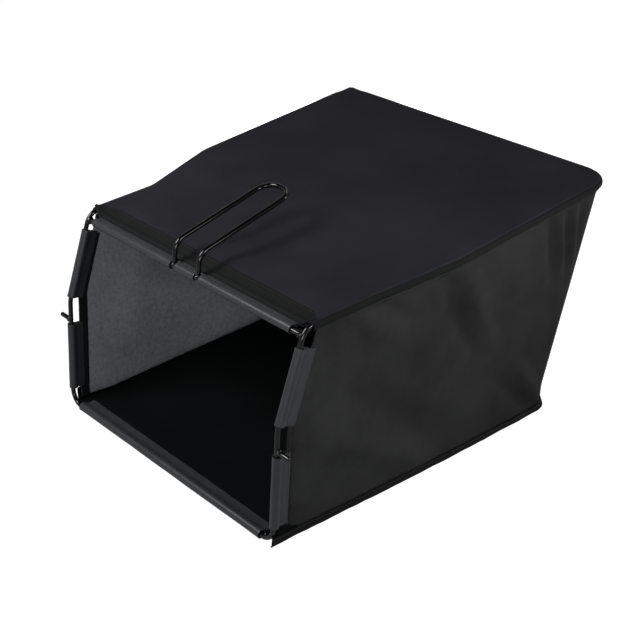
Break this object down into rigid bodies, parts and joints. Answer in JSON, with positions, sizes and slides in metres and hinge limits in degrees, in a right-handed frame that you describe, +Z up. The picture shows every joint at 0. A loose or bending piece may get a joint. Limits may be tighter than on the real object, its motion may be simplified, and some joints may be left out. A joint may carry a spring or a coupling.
{
  "type": "grass collection bag",
  "caption": "Open-mouthed fabric bag hung on a bent wire frame, with a wire carrying handle on top and side pins that hang it on a garden machine.",
  "frame": {"origin": "bottom centre of the whole object's box, on the floor it stands on", "axes": "+Z up; the open mouth faces -Y and the bag runs back along +Y; +X is the side on the right when looking into the mouth"},
  "size_m": [0.4692, 0.53, 0.3166],
  "materials": {
    "frame_paint": "gloss black stoved paint on steel rod",
    "sleeve_vinyl": "smooth dark grey soft vinyl strip",
    "hem_tape": "black woven binding tape",
    "top_fabric": "smooth coated black cloth",
    "side_fabric": "black oxford cloth, softly creased"
  },
  "bodies": {
    "root": {"frame_hoop": "frame_paint", "mouth_cross_bar": "frame_paint", "carry_handle": "frame_paint", "hanger_pin_left": "frame_paint", "hanger_pin_right": "frame_paint", "top_sleeve_left": "sleeve_vinyl", "top_sleeve_middle": "sleeve_vinyl", "top_sleeve_right": "sleeve_vinyl", "upper_sleeve_left": "sleeve_vinyl", "upper_sleeve_right": "sleeve_vinyl", "lower_sleeve_left": "sleeve_vinyl", "lower_sleeve_right": "sleeve_vinyl", "bottom_sleeve": "sleeve_vinyl", "loop_sleeve": "hem_tape", "top_front_hem": "hem_tape", "mouth_hem_left": "hem_tape", "mouth_hem_right": "hem_tape", "base_binding": "hem_tape", "top_panel": "top_fabric", "side_panel_left": "side_fabric", "side_panel_right": "side_fabric", "rear_panel": "side_fabric", "base_panel": "side_fabric"}
  },
  "joints": []
}
